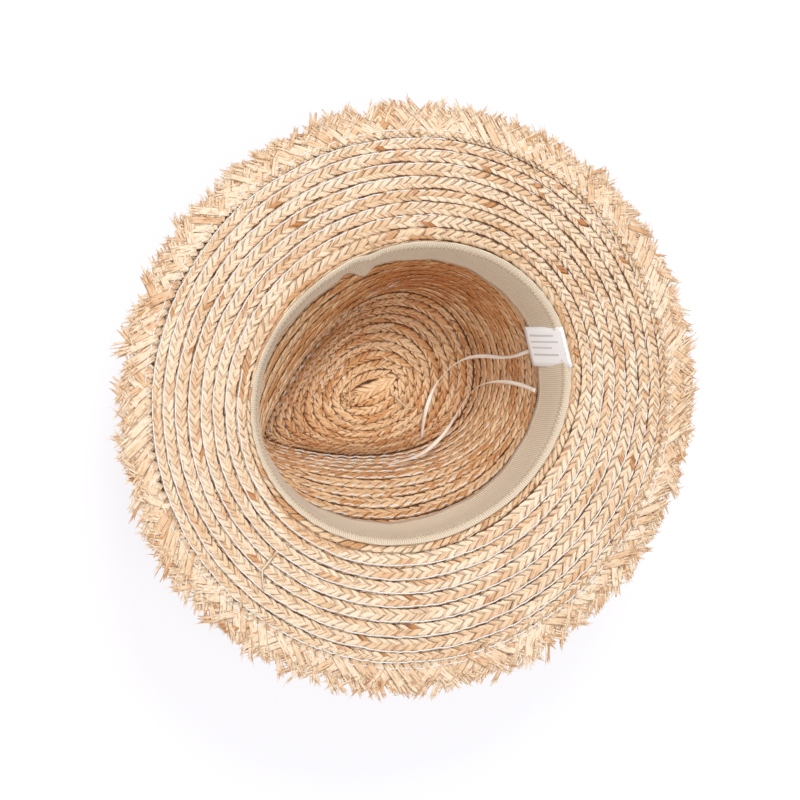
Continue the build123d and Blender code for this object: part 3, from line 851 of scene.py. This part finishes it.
CHANNEL_STITCHES = 260
running = []
for k in range(CHANNEL_STITCHES):
    a = k / CHANNEL_STITCHES
    running.append([band_point(21.62, a + d / CHANNEL_STITCHES, BAND_BACK + lift)
                    for d, lift in ((0.0, 0.45), (0.15, 0.95), (0.5, 1.0), (0.65, 0.45))])
thread_piece("channel_stitches", running, 0.2, beige_thread, "band_thread", "sweatband_channel_stitching")

back_seam = []
for k in range(9):
    row = 21.8 + 2.5 * k / 9
    back_seam.append([band_point(row + d, 0.49, BAND_BACK + lift)
                      for d, lift in ((0.0, 0.5), (0.05, 1.0), (0.17, 1.0), (0.22, 0.5))])
thread_piece("back_seam_stitches", back_seam, 0.24, beige_thread, "band_thread", "sweatband_back_seam")

# ---------------------------------------------------------------- drawstring
# A flat off-white satin ribbon, 2.6 mm wide, in the sweatband's channel. Its two cut ends
# hang down into the crown and lie over the dented tip in loose curves.
RIBBON = 2.6
satin, t, skin = new_material("off-white woven satin ribbon", {"Roughness": 0.38, "Sheen Weight": 0.3})
uv = add(t, "ShaderNodeSeparateXYZ", {0: add(t, "ShaderNodeUVMap", uv_map="ribbon").outputs[0]})
# warp threads run along the ribbon, drawn 0.3 mm apart
fine = add(t, "ShaderNodeMath", {0: uv.outputs[1], 1: 2 * math.pi / 0.3}, operation="MULTIPLY").outputs[0]
fine = add(t, "ShaderNodeMath", {0: fine}, operation="SINE").outputs[0]
fine = add(t, "ShaderNodeMapRange", {0: fine, 1: -1.0, 2: 1.0}).outputs[0]
cream = add(t, "ShaderNodeMix", {0: fine, 6: hex_colour("#e9dccb"), 7: hex_colour("#fffaf2")},
            data_type="RGBA")
warp = add(t, "ShaderNodeBump", {"Height": fine, "Strength": 0.3, "Distance": 0.0001})
surface(t, skin, cream.outputs[2], warp)


def ribbon_tail(name, route, turn_over, node):
    """A flat ribbon along a smooth line through the route's points, in mm."""
    curve = bpy.data.curves.new(name + " line", "CURVE")
    curve.dimensions = "3D"
    curve.resolution_u = 12
    spline = curve.splines.new("NURBS")
    spline.points.add(len(route) - 1)
    for point, place in zip(spline.points, route):
        point.co = (*(Vector(place) * MM), 1)
    spline.order_u = 3
    spline.use_endpoint_u = True
    holder = in_scene(name + " line", curve)
    line = bpy.data.meshes.new_from_object(holder)
    path = [v.co.copy() for v in line.vertices]
    bpy.data.objects.remove(holder)
    verts, uvs, faces = [], [], []
    gone = 0.0
    side = Vector((1, 0.3, 0))
    for i, here in enumerate(path):
        tangent = (path[min(i + 1, len(path) - 1)] - path[max(i - 1, 0)]).normalized()
        gone += (here - path[i - 1]).length if i else 0.0
        side = (side - tangent * side.dot(tangent)).normalized()
        wide = Matrix.Rotation(turn_over(i / (len(path) - 1)), 3, tangent) @ side
        out = tangent.cross(wide)
        for v, z in ((-1, 0), (-0.5, 0.13), (0.5, 0.13), (1, 0), (0.5, -0.13), (-0.5, -0.13)):
            verts.append(here + wide * (v * RIBBON / 2 * MM) + out * (z * MM))
            uvs.append((gone / MM, v * RIBBON / 2))
    count = len(path)
    for i in range(count - 1):
        for j in range(6):
            a, b = i * 6 + j, i * 6 + (j + 1) % 6
            faces.append([a, a + 6, b + 6, b])
    faces.append([0, 1, 2, 3, 4, 5])
    faces.append([(count - 1) * 6 + j for j in (5, 4, 3, 2, 1, 0)])
    me = uv_mesh(name, verts, faces, "ribbon", uvs)
    me.materials.append(satin)
    ob = in_scene(name, me)
    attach(ob, "root")
    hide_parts(node)


ribbon_tail("ribbon_end_behind_the_tag",
            [(7.0, 84.6, 78.35), (8.6, 78.2, 66.5), (8.4, 73.2, 52.4), (4.0, 66.6, 35.5), (2.6, 57.0, 21.5),
             (6.4, 42.2, 20.8), (13.9, 30.3, 22.2), (25.2, 20.8, 19.7), (37.0, 15.8, 13.6)],
            lambda u: 0.2 + 1.15 * math.sin(7.5 * u + 0.2), "drawstring_tail_left")
ribbon_tail("ribbon_end_beside_the_tag",
            [(30.0, 75.3, 78.35), (26.0, 73.6, 66.0), (21.3, 67.6, 51.5), (19.5, 60.2, 37.5),
             (22.5, 54.3, 24.9), (30.0, 45.8, 17.2), (38.7, 33.5, 17.9), (42.6, 17.2, 26.6),
             (42.2, 1.1, 35.3), (37.7, -15.9, 39.4)],
            lambda u: 1.1 * math.cos(6.2 * u) - 0.2, "drawstring_tail_right")

# The rest of the ribbon lies flat in its channel, out of sight behind the sweatband.
verts, faces, uvs = [], [], []
for lift in (0.45, 0.85):
    for row in (21.28, 21.60):
        verts += [band_point(row, k / AROUND, lift) * MM for k in range(AROUND)]
for k in range(AROUND):
    n = (k + 1) % AROUND
    for a, b in ((0, 1), (1, 3), (3, 2), (2, 0)):
        faces.append([b * AROUND + k, b * AROUND + n, a * AROUND + n, a * AROUND + k])
        uvs.append([(length_here[i], v * RIBBON) for v in (a % 2, b % 2) for i in (k, k + 1)])
me = bpy.data.meshes.new("ribbon_in_its_channel")
me.from_pydata(verts, [], faces)
layer = me.uv_layers.new(name="ribbon")
for poly, place in zip(me.polygons, uvs):
    for at, (u, v) in zip(poly.loop_indices, (place[2], place[3], place[1], place[0])):
        layer.data[at].uv = (u, v)
me.materials.append(satin)
channel = in_scene("ribbon_in_its_channel", me)
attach(channel, "root")
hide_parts("drawstring_loop")

# ---------------------------------------------------------------- care tag
# A folded white satin tag over the sweatband at the back, held by a row of stitches at
# the brim side. Its print is left as four plain grey bars.
TAG_WIDE, TAG_THICK, TAG_TURN = 24.0, 0.45, 0.476
TAG_STITCHES = 8
tag_white, t, skin = new_material("white printed satin tag", {"Roughness": 0.42, "Sheen Weight": 0.2})
uv = add(t, "ShaderNodeSeparateXYZ", {0: add(t, "ShaderNodeUVMap", uv_map="tag").outputs[0]})
bars = None
for low, high, start, end in ((4.6, 5.8, 4.0, 24.0), (8.4, 9.4, 4.0, 27.0), (12.0, 13.0, 4.0, 21.0),
                              (16.2, 17.4, 4.0, 25.0)):
    inside = []
    for value, a, b in ((uv.outputs[0], low, high), (uv.outputs[1], start, end)):
        middle, half = (a + b) / 2, (b - a) / 2
        near = add(t, "ShaderNodeMath", {0: value, 1: middle, 2: half}, operation="COMPARE")
        inside.append(near.outputs[0])
    bar = add(t, "ShaderNodeMath", {0: inside[0], 1: inside[1]}, operation="MULTIPLY").outputs[0]
    if bars is not None:
        bar = add(t, "ShaderNodeMath", {0: bars, 1: bar}, operation="MAXIMUM").outputs[0]
    bars = bar
place = add(t, "ShaderNodeCombineXYZ", {0: uv.outputs[0], 1: uv.outputs[1]}).outputs[0]
inked = add(t, "ShaderNodeMath", {0: bars, 1: 0.45}, operation="MULTIPLY").outputs[0]
print_mix = add(t, "ShaderNodeMix", {0: inked, 6: hex_colour("#ffffff"), 7: hex_colour("#77737a")},
                data_type="RGBA")
weave = add(t, "ShaderNodeTexNoise", {"Vector": place, "Scale": 6.0, "Detail": 1.0})
soft = add(t, "ShaderNodeBump", {"Height": weave.outputs[0], "Strength": 0.2, "Distance": 0.0001})
surface(t, skin, print_mix.outputs[2], soft)

# it lies on the curved sweatband, 5 mm off the wall at its deep end, and over its sewn edge
sewn, _, _, off_wall, _ = row_frame(24.6, TAG_TURN)
inward = Vector((off_wall.x, off_wall.y, 0)).normalized()
foot = row_point(21.0, TAG_TURN) + inward * 5.0
head = sewn + inward * 1.4 + Vector((0, 0, 4.6))
wide = (row_point(23, 0.466) - row_point(23, 0.486)).normalized()
tall = head - foot
TAG_TALL = tall.length
tall = tall.normalized()
face = wide.cross(tall).normalized()
verts, uvs, faces = [], [], []
COLS, LINES = 8, 12
for lift in (TAG_THICK, 0.0):
    for j in range(LINES + 1):
        for i in range(COLS + 1):
            u, v = i / COLS - 0.5, j / LINES - 0.5
            slant = 4.0 * v
            bow = -3.2 * u * u + 0.9 * math.cos(math.pi * v) - 1.2 * max(0, v) ** 2
            corner = 1.5 * max(0.0, u) * max(0.0, -v)
            verts.append(((foot + head) / 2 + wide * (u * TAG_WIDE + slant) + tall * (v * TAG_TALL)
                          + face * (lift + bow * 0.6 + corner)) * MM)
            uvs.append(((u + 0.5) * TAG_WIDE, (v + 0.5) * TAG_TALL))
layer = (COLS + 1) * (LINES + 1)
for j in range(LINES):
    for i in range(COLS):
        a = j * (COLS + 1) + i
        quad = [a, a + 1, a + COLS + 2, a + COLS + 1]
        faces.append(quad)
        faces.append([v + layer for v in quad][::-1])
rim = list(range(COLS + 1)) + [(COLS + 1) * (j + 1) + COLS for j in range(LINES)]
rim += [LINES * (COLS + 1) + i for i in range(COLS - 1, -1, -1)]
rim += [(COLS + 1) * j for j in range(LINES - 1, 0, -1)]
for a, b in zip(rim, rim[1:] + rim[:1]):
    faces.append([b, a, a + layer, b + layer])
me = uv_mesh("care_tag", verts, faces, "tag", uvs)
me.materials.append(tag_white)
tag = in_scene("care_tag", me)
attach(tag, "root")
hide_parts("care_label")

stitches = []
for k in range(TAG_STITCHES):
    u = (k + 0.5) / TAG_STITCHES - 0.5
    base = (foot + head) / 2 + tall * (TAG_TALL / 2 - 1.6) + face * (TAG_THICK - 1.9 * u * u - 0.2)
    stitches.append([base + wide * (u * TAG_WIDE + 3.8 + d) + face * z
                     for d, z in ((-1.1, -0.1), (-0.8, 0.3), (0.8, 0.3), (1.1, -0.1))])
thread_piece("tag_stitches", stitches, 0.2, cotton, "seam_thread", "label_stitching")

# ---------------------------------------------------------------- table, light, camera
# A white table that shines a little, a key light high on the -X side and behind, a wider
# and weaker fill nearly overhead, and a pale room all round.
me = bpy.data.meshes.new("table")
me.from_pydata([(-8, -8, 0), (8, -8, 0), (8, 8, 0), (-8, 8, 0)], [], [[0, 1, 2, 3]])
me.materials.append(new_material("white lit table", {
    "Base Color": hex_colour("#8c8c90"), "Roughness": 0.9,
    "Emission Color": hex_colour("#fdfcff"), "Emission Strength": 0.745})[0])
table = in_scene("table", me)

for name, place, size, power in (
    ("key light", (-1.25, 0.5, 1.8), 0.8, 24.0),
    ("fill light", (0.2, -0.45, 2.2), 1.2, 18.0),
):
    light = bpy.data.lights.new(name, "AREA")
    light.size = size
    light.energy = power
    holder = in_scene(name, light)
    holder.location = place
    holder.rotation_euler = (-Vector(place) + Vector((0, 0, 0.1))).to_track_quat("-Z", "Y").to_euler()

world = bpy.data.worlds.new("soft room")
bpy.context.scene.world = world
world.use_nodes = True
world.node_tree.nodes["Background"].inputs[0].default_value = hex_colour("#fbfbff")
world.node_tree.nodes["Background"].inputs[1].default_value = 0.54
bpy.context.scene.view_settings.view_transform = "Standard"

camera = bpy.data.cameras.new("camera")
camera.lens = 91.2
camera.shift_x, camera.shift_y = -0.02, -0.008
holder = in_scene("camera", camera)
right = Vector((0.39987406, 0.87258812, 0.28051864))
up = Vector((-0.90270546, 0.42795893, -0.04442979))
back = Vector((-0.15881937, -0.23545939, 0.95881973))
turned = Matrix((right, up, back)).transposed().to_4x4()
holder.matrix_world = Matrix.Translation((-0.18714, -0.26928, 1.20864)) @ turned
bpy.context.scene.camera = holder
